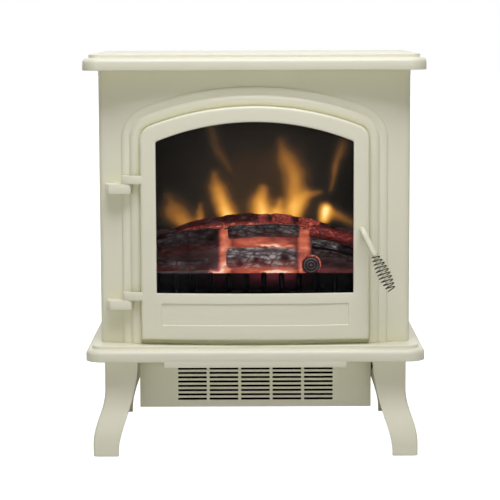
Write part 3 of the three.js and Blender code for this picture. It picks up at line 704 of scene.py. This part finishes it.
def build_legs():
    """Each leg is a bent plate: an outer corner with two flared wings, following one S curve."""
    outer = bezier(*np.array([(242.2, 16.0), (242.2, 52), (225, 66), (225, 100)]))
    inner = bezier(*np.array([(203.8, 10.0), (202.5, 44), (178.5, 74), (175.2, 140)]))
    top = BASE_Z - 0.3
    wall, round_off = 3.2, 4.5
    levels = [(0, 0.9), (0.3, 0.3), (1.0, 0)] + [(z, 0) for z in np.linspace(4, top, 44)]
    for side, sign in (("left", -1), ("right", 1)):
        for end in ("front", "rear"):
            surface = Surface()
            rings = []
            for z, tuck in levels:
                far = float(np.interp(z, outer[:, 1], outer[:, 0])) - tuck
                near = float(np.interp(z, inner[:, 1], inner[:, 0], left=204)) + tuck
                thin = wall - 2 * tuck
                tip = thin / 2 - 0.05
                outside, inside = far - round_off, far - thin - 1.5
                ring = turn_points(outside, outside, round_off, 0, math.pi / 2, 7)
                ring += turn_points(near + tip, far - tip, tip, math.pi / 2, math.pi, 3)
                ring += turn_points(near + tip, far - thin + tip, tip, math.pi, 1.5 * math.pi, 3)
                ring += turn_points(inside, inside, 1.5, math.pi / 2, 0, 3)
                ring += turn_points(far - thin + tip, near + tip, tip, math.pi, 1.5 * math.pi, 3)
                ring += turn_points(far - tip, near + tip, tip, 1.5 * math.pi, 2 * math.pi, 3)
                spots = [(x, LEG_CORNER - y) for x, y in ring]
                if end == "rear":
                    spots = [(x, PLATE_DEPTH - d) for x, d in spots]
                rings.append([(sign * x, d, z) for x, d in spots])
            surface.solid(rings)
            node = f"leg_{end}_{side}"
            surface.build(node, CREAM)


# ---- door handle ----
def tube(surface, path, radii, around):
    """A round tube through the points of a path, without twist."""
    path = [Vector(p) for p in path]
    normal = Vector((0.3, 0.2, 1))
    rings = []
    for i, spot in enumerate(path):
        ahead = path[min(i + 1, len(path) - 1)] - path[max(i - 1, 0)]
        ahead.normalize()
        normal = (normal - ahead * normal.dot(ahead)).normalized()
        side = ahead.cross(normal)
        ring = []
        for k in range(around):
            angle = 2 * math.pi * k / around
            ring.append(tuple(spot + (normal * math.cos(angle) + side * math.sin(angle)) * radii[i]))
        rings.append(ring)
    surface.solid(rings)


def build_handle():
    """A rod bent down from its axis, which runs on thinner inside a barrel-shaped coil of wire."""
    pivot, knee, tip, rod = (158, 339), -6, Vector((199, -26, 255)), 4.4
    bend = Vector((pivot[0], knee, pivot[1]))
    grip = tip - bend
    root = Vector((pivot[0], 31, pivot[1]))
    front = Vector((pivot[0], knee + 9, pivot[1]))
    turned = bend + grip * 0.11
    path = [root, root.lerp(front, 0.5)]
    for t in np.linspace(0, 1, 14):
        path.append((1 - t) ** 2 * front + 2 * (1 - t) * t * bend + t**2 * turned)
    path += [bend + grip * t for t in (0.2, 0.3, 0.4, 0.42, 0.43, 0.9, 0.925, 0.93)]
    core = 3.1
    radii = [rod] * (len(path) - 5) + [rod * 0.9, core, core, core * 0.8, core * 0.3]
    surface = Surface()
    tube(surface, path, radii, 24)
    surface.build("handle_rod", CREAM, 50)

    wire, turns, start = 0.8, 10.5, 0.4
    forward = grip.normalized()
    across = forward.cross(Vector((0, 1, 0))).normalized()
    out = across.cross(forward)
    coil = []
    for t in np.linspace(0, 1, int(turns * 26)):
        angle = 2 * math.pi * turns * t
        radius = 4.9 + 4.3 * math.sin(math.pi * t**1.15) + 0.5 * t
        centre = bend + grip * (start + (1 - start) * t)
        coil.append(centre + across * (radius * math.cos(angle)) + out * (radius * math.sin(angle)))
    radii = [wire] * len(coil)
    radii[0] = radii[-1] = wire * 0.6
    surface = Surface()
    tube(surface, coil, radii, 12)
    surface.build("handle_spring", SPRING_STEEL, 60)


# ---- logs, embers, fret and flames ----
def cells(spot, size, seed):
    """Distances to the nearest two cell centres, for plates of bark and for coals."""
    near, _ = noise.voronoi(Vector(spot) / size + Vector((seed * 7.3, seed * 3.1, seed)))
    return near[0], near[1]


def smooth(value, low, high):
    t = min(1.0, max(0.0, (value - low) / (high - low)))
    return t * t * (3 - 2 * t)


def polygon_swell(angle, sides, turn):
    """How far a split log's flat faces lie inside its round outline."""
    if not sides:
        return 1.0
    wedge = 2 * math.pi / sides
    off = (angle + turn) % wedge - wedge / 2
    return math.cos(wedge / 2) / math.cos(off) * 1.06


def turned(angle, turn):
    """The angle measured from another, between -pi and pi."""
    return (angle - turn + math.pi) % (2 * math.pi) - math.pi


def tube_faces(rows, around):
    """The faces of a closed tube of this many rows of points."""
    faces = []
    for low in range(0, (rows - 1) * around, around):
        for k in range(around):
            j = (k + 1) % around
            faces.append((low + k, low + j, low + around + j, low + around + k))
    return faces


def build_log(node, ends, radii, bend, seed, ash_grey_and_glow, ember_red_and_glow, painted_glow_side, sides=0, knots=(), plates=(), taper=0):
    """A charred log. Bark plates stand between cracks; its painted glow is strongest on the side turned to
    the given glow direction; knots and thicker plates of bark sit at their share of the length and at
    their angle, 0 in front and up from there."""
    around, along = LOG_AROUND, LOG_ALONG
    start, end = Vector(ends[0]), Vector(ends[1])
    middle = start.lerp(end, 0.5) + Vector((0, 0, 2 * bend))
    painted_glow_side = Vector(painted_glow_side).normalized()
    length = (end - start).length
    points, ash_greys_and_glows, ember_reds_and_glows = [], [], []
    for i in range(along + 1):
        t = i / along
        centre = (1 - t) ** 2 * start + 2 * (1 - t) * t * middle + t**2 * end
        ahead = (2 * (1 - t) * (middle - start) + 2 * t * (end - middle)).normalized()
        side = ahead.cross(Vector((0, 0, 1))).normalized()
        up = side.cross(ahead)
        radius = (radii[0] + (radii[1] - radii[0]) * t) * (1 - taper * abs(2 * t - 1) ** 3)
        for k in range(around):
            angle = 2 * math.pi * k / around
            ray = side * math.cos(angle) + up * math.sin(angle)
            sample = (t * length, radius * math.cos(angle), radius * math.sin(angle))
            broken = 2.5 * noise.noise(Vector((angle * 1.6, seed, t)))
            tip = max(0.0, min(t, 1 - t) * length + broken) / (0.45 * radius)
            round_off = 0.72 + 0.28 * math.sqrt(max(0, 1 - (1 - min(tip, 1)) ** 2))
            first, second = cells((sample[0] * 0.42, sample[1], sample[2]), 6.4, seed)
            crack = max(0.0, 1 - (second - first) * 4.0)
            knobs = noise.fractal(Vector(sample) / 13 + Vector((seed, 0, 0)), 1.0, 2.0, 4)
            grain = noise.noise(Vector((t * length / 18, angle * 3.4, seed * 5.0)))
            fine = noise.noise(Vector((t * length / 4.5, angle * 9, seed * 2.0)))
            swell = polygon_swell(angle, sides, seed) + 0.10 * knobs + 0.05 * grain
            swell += 0.018 * fine
            swell -= 0.075 * crack
            white = ash_grey_and_glow * (0.78 + 0.35 * knobs + 0.3 * grain) * (1 - 0.5 * crack)
            # painted glow: strongest on the side turned to the glow direction, and in the cracks
            glow_level = ember_red_and_glow * (0.17 + 0.83 * max(0.0, ray.dot(painted_glow_side))) * (0.75 + 0.6 * crack)
            # painted light and shade: alternate flat faces are made paler and darker, the pale ones less
            # so towards the far end
            if sides:
                facet = int((angle + seed) // (2 * math.pi / sides)) % 2
                white *= 2.2 - smooth(t, 0.45, 0.7) if facet else 0.3
            for at, turn, width in knots:
                away = math.hypot((t - at) * length, radius * turned(angle, turn))
                rim = 0.16 * math.exp(-(((away - width) / (0.45 * width)) ** 2))
                swell += rim - 0.2 * math.exp(-((away / (0.6 * width)) ** 2))
                white *= 1 - 0.85 * math.exp(-((away / width) ** 2))
            for low, high, turn, spread, rise, tone in plates:
                off = abs(turned(angle, turn))
                lift = smooth(t, low, low + 0.02) * (1 - smooth(t, high - 0.02, high))
                lift *= 1 - smooth(off, spread, spread + 0.25)
                swell += lift * rise / radius
                glow_level = glow_level + lift * (tone - glow_level)
            points.append(centre + ray * (radius * round_off * swell))
            ash_greys_and_glows.append(max(0.0, min(1.0, white)))
            ember_reds_and_glows.append(max(0.0, min(1.0, glow_level)))
    faces = tube_faces(along + 1, around)
    for i in (0, along):
        ring = [i * around + k for k in range(around)]
        middle_id = len(points)
        points.append(sum((Vector(points[q]) for q in ring), Vector()) / around)
        ash_greys_and_glows.append(ash_grey_and_glow * 0.5)
        ember_reds_and_glows.append(ember_red_and_glow * 0.2)
        faces += [(ring[k], ring[(k + 1) % around], middle_id) for k in range(around)]
    build_mesh(node, points, faces, {"ash_grey_and_glow": ash_greys_and_glows, "ember_red_and_glow": ember_reds_and_glows}, BARK, 75)


def build_log_end():
    """The sawn end of a short log that faces the door: growth rings, and a rim of bark with a painted
    glow, stronger on one side.
    """
    start, end, radius = Vector((84, 52, 282)), Vector((86, 66, 282)), 15.4
    around = 96
    rows = [(r, 0.0) for r in np.linspace(0.6, radius - 2.4, 30)]
    rows += [(radius - 1.6, 0.02), (radius - 0.7, 0.06), (radius, 0.14)]
    rows += [(radius - 1.3 * t, t) for t in np.linspace(0.25, 1, 8)]
    points, ash_greys_and_glows, ember_reds_and_glows = [], [], []
    for r, t in rows:
        for k in range(around):
            angle = 2 * math.pi * k / around
            wobble = 1 + 0.035 * noise.noise(Vector((2 * math.cos(angle), 2 * math.sin(angle), r / 9)))
            ring = 0.5 + 0.5 * math.sin(r * wobble * 1.4)
            bark = smooth(r, radius - 2.6, radius - 1.2) if t < 0.2 else 1.0
            deep = 0.5 * (1 - ring) * (1 - bark)
            ray = Vector((math.cos(angle), 0, math.sin(angle)))
            rough = 1 - bark * 0.03 * (1 + noise.noise(Vector((angle * 6, r, t * 4))))
            points.append(start.lerp(end, t) + ray * (r * wobble * rough * 0.985) + Vector((0, deep, 0)))
            ash_greys_and_glows.append((0.12 + 0.42 * ring) * (1 - bark) + 0.2 * bark)
            # painted glow on the rim of bark, strongest towards one side
            ember_reds_and_glows.append(0.04 + bark * (0.62 + 0.3 * math.cos(angle - 0.9)))
    faces = tube_faces(len(rows), around)
    faces.append(tuple(range(around)))
    faces.append(tuple((len(rows) - 1) * around + k for k in range(around)))
    build_mesh("log_end", points, faces, {"ash_grey_and_glow": ash_greys_and_glows, "ember_red_and_glow": ember_reds_and_glows}, BARK, 75)


# Ends, radii, how far the middle is bent up, ash grey (with a faint painted glow), ember red with its
# painted glow, the side where that painted glow is strongest, and any flat sides, taper towards both ends,
# knots (share, angle, width) and thick plates (from, to, angle, spread, rise, ember red and painted glow).
LOGS = {
    "log_back": {
        "ends": ((-121, 127, 326), (113, 127, 330)),
        "radii": (9.6, 9.0),
        "bend": 14.2,
        "taper": 0.42,
        "ash_grey_and_glow": 0.3,
        "ember_red_and_glow": 0.95,
        "painted_glow_side": (0, -0.25, -1),
        "plates": (
            (0.06, 0.29, 0.9, 0.6, 0.9, 0.16),
            (0.31, 0.52, 0.75, 0.7, 1.6, 0.14),
            (0.53, 0.61, 0.35, 0.8, 0.8, 0.62),
            (0.62, 0.77, 0.7, 0.9, 2.0, 0.58),
            (0.79, 0.95, 0.5, 0.8, 1.2, 0.66),
        ),
    },
    "log_left": {
        "ends": ((-147, 98, 306), (-57, 88, 319)),
        "radii": (17.6, 15.2),
        "bend": 2,
        "ash_grey_and_glow": 0.38,
        "ember_red_and_glow": 0.2,
        "painted_glow_side": (0.6, -0.1, -1),
        "knots": ((0.91, 0.14, 4.2),),
    },
    "log_lower_left": {
        "ends": ((-148, 66, 281), (-69, 64, 282)),
        "radii": (9.2, 8.6),
        "bend": 0,
        "ash_grey_and_glow": 0.38,
        "ember_red_and_glow": 0.26,
        "painted_glow_side": (0.5, -0.4, -1),
    },
    "log_centre": {
        "ends": ((-41, 105, 325), (68, 104, 327)),
        "radii": (10.4, 9.8),
        "bend": 2.5,
        "ash_grey_and_glow": 0.62,
        "ember_red_and_glow": 0.2,
        "painted_glow_side": (0, -0.1, -1),
    },
    "log_front": {
        "ends": ((-43, 72, 290), (63, 69, 290)),
        "radii": (15.6, 15.0),
        "bend": 1,
        "ash_grey_and_glow": 1.0,
        "ember_red_and_glow": 0.55,
        "painted_glow_side": (0.35, -0.2, -1),
        "knots": ((0.19, -0.4, 5.2), (0.43, -0.1, 4.2), (0.83, 0.05, 6.4)),
    },
    "log_right_front": {
        "ends": ((86, 82, 305), (151, 74, 293)),
        "radii": (14.4, 11.4),
        "bend": 2,
        "ash_grey_and_glow": 0.32,
        "ember_red_and_glow": 0.06,
        "painted_glow_side": (-0.4, -0.2, -1),
        "sides": 5,
    },
    "log_right_back": {
        "ends": ((84, 106, 328), (152, 100, 314)),
        "radii": (9.6, 9.6),
        "bend": 1,
        "ash_grey_and_glow": 0.3,
        "ember_red_and_glow": 0.5,
        "painted_glow_side": (-0.3, -1, 0.4),
    },
}


def build_logs():
    for seed, (node, shape) in enumerate(LOGS.items()):
        build_log(node, seed=seed + 1, **shape)
    build_log_end()


def bed_height(depth):
    return float(np.interp(depth, [52, 58, 88, 128, 137, 149.7], [256, 260, 267, 306, 313, 329]))


def bed_glow(x, depth, gap):
    """Hot between the logs: two bright columns, a streak behind the front log and a strip below it."""
    columns = 0.73 * math.exp(-(((x + 45) / 11) ** 4)) + 0.7 * math.exp(-(((x - 75) / 11) ** 4))
    middle = 0.52 * math.exp(-(((x - 12) / 58) ** 6))
    streak = math.exp(-(((x - 27) / 38) ** 4) - ((depth - 128.5 + x / 15) / 3.4) ** 2)
    ends = 0.97 * math.exp(-(((x - 34) / 34) ** 4)) + 0.86 * math.exp(-(((x + 55) / 15) ** 4))
    strip = ends * (1 - smooth(depth, 91, 96))
    rest = 0.11 + 0.08 * math.exp(-((x / 110) ** 2))
    rest += 0.16 * smooth(x, 80, 100) * (1 - smooth(depth, 90, 100))
    level = max(rest, columns, middle, streak, strip)
    veins = noise.noise(Vector((x / 16, depth / 6, 4.0)))
    return max(0.0, min(1.0, level * (0.95 + 0.12 * gap + 0.22 * veins)))


def build_embers():
    """A bed of coals: rounded lumps with the light showing between them."""
    half, floor = 159.4, 237.2
    xs = np.linspace(-half, half, 230)
    depths = np.linspace(52.3, 149, 80)
    surface = Surface()
    rows = []
    for depth in depths:
        row = []
        for x in xs:
            first, second = cells((x * 0.6, depth * 1.3, 0), 10, 3)
            gap = min(1.0, max(0.0, 1 - (second - first) * 2.2))
            height = bed_height(depth) - 0.4 - 3.5 * gap**1.5
            height += 1.2 * noise.noise(Vector((x / 9, depth / 9, 2)))
            spot = (x, depth, height)
            surface.point(spot, bed_glow(x, depth, gap))
            row.append(spot)
        rows.append(row)
    surface.loft(rows)
    for row in (rows[0], rows[-1], [r[0] for r in rows], [r[-1] for r in rows]):
        surface.strip(row, [(x, d, floor) for x, d, _ in row])
    corners = ((-half, depths[0]), (half, depths[0]), (half, depths[-1]), (-half, depths[-1]))
    surface.face([(x, d, floor) for x, d in corners])
    surface.build("ember_bed", EMBER, 60, "glow")


def fret_glow(x, z):
    """The coals' light between the posts, right of the middle and strongest at the top."""
    across = math.exp(-(((x - 27) / 44) ** 4)) + 0.35 * math.exp(-(((x + 55) / 18) ** 2))
    return across * smooth(z, 246, 271)


def build_fret():
    """Upright rounded bars, each a little different in height, on a rail with a low plate behind."""
    surface = Surface()
    for i in range(FRET_POSTS):
        x = (i - (FRET_POSTS - 1) / 2) * FRET_PITCH
        top = 272.3 - 0.5 * (i % 3)
        heights = [238, 241, 252, 262, top - 2.5, top - 1, top - 0.3, top]
        radii = [5, 4.9, 4.7, 4.5, 4.3, 3.8, 2.8, 1.2]
        tube(surface, [(x, FRET_DEPTH, z) for z in heights], radii, 20)
    for near, far, low, high in ((41, 49, 237.6, 245), (47, 49, 245, 270.8)):
        outline = [(near, z) for z in np.linspace(low, high - 0.8, 9)]
        outline += [(near + 0.6, high), (far - 0.6, high), (far, high - 0.8), (far, low)]
        rings = []
        for x in np.linspace(-150.8, 150.8, 90):
            rings.append([(x, d, z) for d, z in outline])
            for spot in rings[-1]:
                surface.point(spot, fret_glow(x, spot[2]) if near > FRET_DEPTH else 0.0)
        surface.solid(rings)
    surface.build("fret", FRET, 40, "glow")


# Each flame is a tapering ribbon of painted light through a few points: (x, z, half width, brightness).
FLAME_PATHS = [
    [(-104, 332, 14, 0.5), (-124, 354, 18, 0.42), (-131, 373, 11, 0.26)],
    [(-84, 340, 8, 0.44), (-83, 352, 8, 0.38), (-82, 364, 5, 0.22)],
    [(-41, 344, 11, 1.05), (-48, 364, 11.5, 0.66), (-57, 388, 13, 0.5), (-60, 409, 7, 0.28)],
    [(12, 344, 13, 0.84), (8, 366, 13, 0.66), (13, 388, 7, 0.34)],
    [(34, 344, 10, 0.8), (35, 355, 9, 0.6), (37, 368, 6, 0.32)],
    [(58, 344, 13, 0.72), (64, 377, 16, 0.5), (60, 410, 17, 0.42), (50, 437, 14, 0.34), (41, 463, 8, 0.2)],
    [(64, 362, 13, 0.5), (81, 378, 10, 0.42), (100, 382, 6, 0.26)],
    [(107, 342, 8, 0.8), (110, 357, 7.5, 0.84)],
    [(112, 352, 10, 0.48), (128, 346, 11, 0.4), (148, 334, 9, 0.3)],
    [(-66, 478, 8, 0.17), (-54, 444, 7, 0.2), (-40, 418, 4, 0.14)],
    [(135, 456, 10, 0.26), (126, 426, 8, 0.32), (116, 385, 4, 0.24)],
]


def flame_light_level(xs, zs):
    """Painted flame light over a grid: a dim brown glow, and soft-edged flames bent by slow noise."""
    warp_x, warp_z = np.zeros_like(xs), np.zeros_like(xs)
    for index in np.ndindex(xs.shape):
        x, z = xs[index], zs[index]
        warp_x[index] = 3.2 * noise.noise(Vector((x / 26, z / 34, 1.7)))
        warp_x[index] += 1.2 * noise.noise(Vector((x / 9, z / 14, 5.2)))
        warp_z[index] = 4 * noise.noise(Vector((x / 30, z / 30, 8.4)))
    x, z = xs + warp_x, zs + warp_z
    glow_level = 0.16 * np.exp(-(((x + 5) / 105) ** 2) - ((z - 385) / 75) ** 2)
    glow_level += 0.07 * np.exp(-(((x - 30) / 90) ** 2) - ((z - 440) / 50) ** 2)
    glow_level += 0.14 * np.exp(-(((x - 22) / 62) ** 2) - ((z - 352) / 22) ** 2)
    for flame in FLAME_PATHS:
        best = np.zeros_like(x)
        for (x0, z0, w0, h0), (x1, z1, w1, h1) in zip(flame, flame[1:]):
            run, rise = x1 - x0, z1 - z0
            along = np.clip(((x - x0) * run + (z - z0) * rise) / (run**2 + rise**2), 0, 1)
            off = np.hypot(x - x0 - along * run, z - z0 - along * rise)
            width = w0 + (w1 - w0) * along
            level = h0 + (h1 - h0) * along
            best = np.maximum(best, level * np.exp(-((off / (1.1 * width)) ** 2)))
        glow_level = glow_level + best - 0.75 * glow_level * best
    return np.clip(glow_level, 0, 1)


def build_screen():
    """The upright screen behind the logs, whose points carry the painted flame light."""
    low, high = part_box("flame_screen")
    half, bottom, top = high.x / MM, low.z / MM, high.z / MM
    front = (low.y - FRONT_EDGE) / MM
    xs, zs = np.meshgrid(np.linspace(-half, half, 170), np.linspace(bottom, top, 150))
    glow_level = flame_light_level(xs, zs)
    surface = Surface()
    rows = []
    for r in range(xs.shape[0]):
        row = [(float(x), front, float(z)) for x, z in zip(xs[r], zs[r])]
        for spot, value in zip(row, glow_level[r]):
            surface.point(spot, float(value))
        rows.append(row)
    surface.loft(rows)
    back = front + 3
    for row in (rows[0], rows[-1], [r[0] for r in rows], [r[-1] for r in rows]):
        surface.strip(row, [(x, back, z) for x, _, z in row])
    surface.face([(x, back, z) for x, z in ((-half, bottom), (half, bottom), (half, top), (-half, top))])
    surface.build("flame_screen", FLAMES, 35, "flame_light")


def build_camera_and_lights():
    """A long lens from a little above the stove, three soft lights and a pale studio round them."""
    focal_in_widths = 3.74
    back, height = 2724.2, 643.5
    pitch, roll = math.radians(6.951), math.radians(0.2)
    camera = bpy.data.cameras.new("camera")
    camera.lens = focal_in_widths * camera.sensor_width
    camera.shift_x = -0.0083
    view = bpy.data.objects.new("camera", camera)
    view.location = (0, FRONT_EDGE - back * MM, height * MM)
    view.rotation_euler = (math.pi / 2 - pitch, roll, 0)
    bpy.context.scene.collection.objects.link(view)
    bpy.context.scene.camera = view
    bpy.context.scene.view_settings.view_transform = "Standard"

    def area(name, spot, size, energy, colour, target=(0, 0, 0.35)):
        light = bpy.data.lights.new(name, "AREA")
        light.color = colour
        light.shape = "RECTANGLE"
        light.size, light.size_y = size
        light.energy = energy
        lamp = bpy.data.objects.new(name, light)
        lamp.location = spot
        aim = Vector(target) - Vector(spot)
        lamp.rotation_euler = aim.to_track_quat("-Z", "Y").to_euler()
        bpy.context.scene.collection.objects.link(lamp)

    area("key", (0.12, FRONT_EDGE - 1.21, 2.29), (1.3, 0.42), 20.6, (0.72, 0.71, 1.0))
    area("overhead", (0, FRONT_EDGE - 0.7, 2.3), (1.6, 0.5), 25, (0.88, 0.88, 1.06), (0, 0, 0.2))
    area("front_fill", (0, FRONT_EDGE - 2.9, 0.5), (3.0, 1.0), 9.4, (1, 1, 0.93))

    world = bpy.data.worlds.new("studio")
    bpy.context.scene.world = world
    world.use_nodes = True
    tree = world.node_tree
    background = tree.nodes["Background"]
    direction = add(tree, "ShaderNodeTexCoord")
    parts = add(tree, "ShaderNodeSeparateXYZ")
    tree.links.new(direction.outputs["Generated"], parts.inputs[0])
    behind = to_range(tree, parts.outputs["Y"], 0.205, 0.95, -0.1, 0.9)
    rays = add(tree, "ShaderNodeLightPath")
    brighter = add(tree, "ShaderNodeMath", operation="MAXIMUM")
    tree.links.new(behind, brighter.inputs[0])
    tree.links.new(rays.outputs["Is Camera Ray"], brighter.inputs[1])
    tree.links.new(brighter.outputs[0], background.inputs["Strength"])
    background.inputs["Color"].default_value = (1, 1, 1, 1)


def build_floor():
    """A plain pale floor. Its glow is seen only by the camera, as pure white that hides all shadows."""
    material, tree, shader = new_material("floor_white")
    shader.inputs["Base Color"].default_value = (0.62, 0.62, 0.62, 1)
    shader.inputs["Roughness"].default_value = 0.9
    shader.inputs["Specular IOR Level"].default_value = 0.0
    rays = add(tree, "ShaderNodeLightPath")
    glow = add(tree, "ShaderNodeEmission")
    tree.links.new(rays.outputs["Is Camera Ray"], glow.inputs["Strength"])
    both = add(tree, "ShaderNodeAddShader")
    tree.links.new(shader.outputs[0], both.inputs[0])
    tree.links.new(glow.outputs[0], both.inputs[1])
    tree.links.new(both.outputs[0], tree.nodes["Material Output"].inputs["Surface"])
    mesh = bpy.data.meshes.new("floor")
    mesh.from_pydata([(-20, -20, 0), (20, -20, 0), (20, 20, 0), (-20, 20, 0)], [], [(0, 1, 2, 3)])
    mesh.materials.append(material)
    floor = bpy.data.objects.new("floor", mesh)
    bpy.context.scene.collection.objects.link(floor)


build_camera_and_lights()
build_floor()
build_plate("base_plate", BASE_Z, tab=True)
build_plate("top_plate", TOP_Z)
build_surround()
build_door()
build_pane()
build_legs()
build_handle()
build_logs()
build_embers()
build_fret()
build_screen()

softened = ["outlet_grille", "hinge_bracket_lower", "hinge_bracket_upper", *LEAVES, "cord_gland"]
softened += ["switch_plate", "rocker_1", "rocker_2", "rocker_3"]
softened += [f"rear_screw_{level}_{side}" for level in ("lower", "upper") for side in ("left", "right")]
for node in softened:
    refined(node, BY_SLOT[SLOT_OF[node]])

for node, shape in frame["nodes"].items():
    shape.data.materials.clear()
    shape.data.materials.append(SHADE_BLACK if node in BEHIND_SLOTS else BY_SLOT[SLOT_OF[node]])
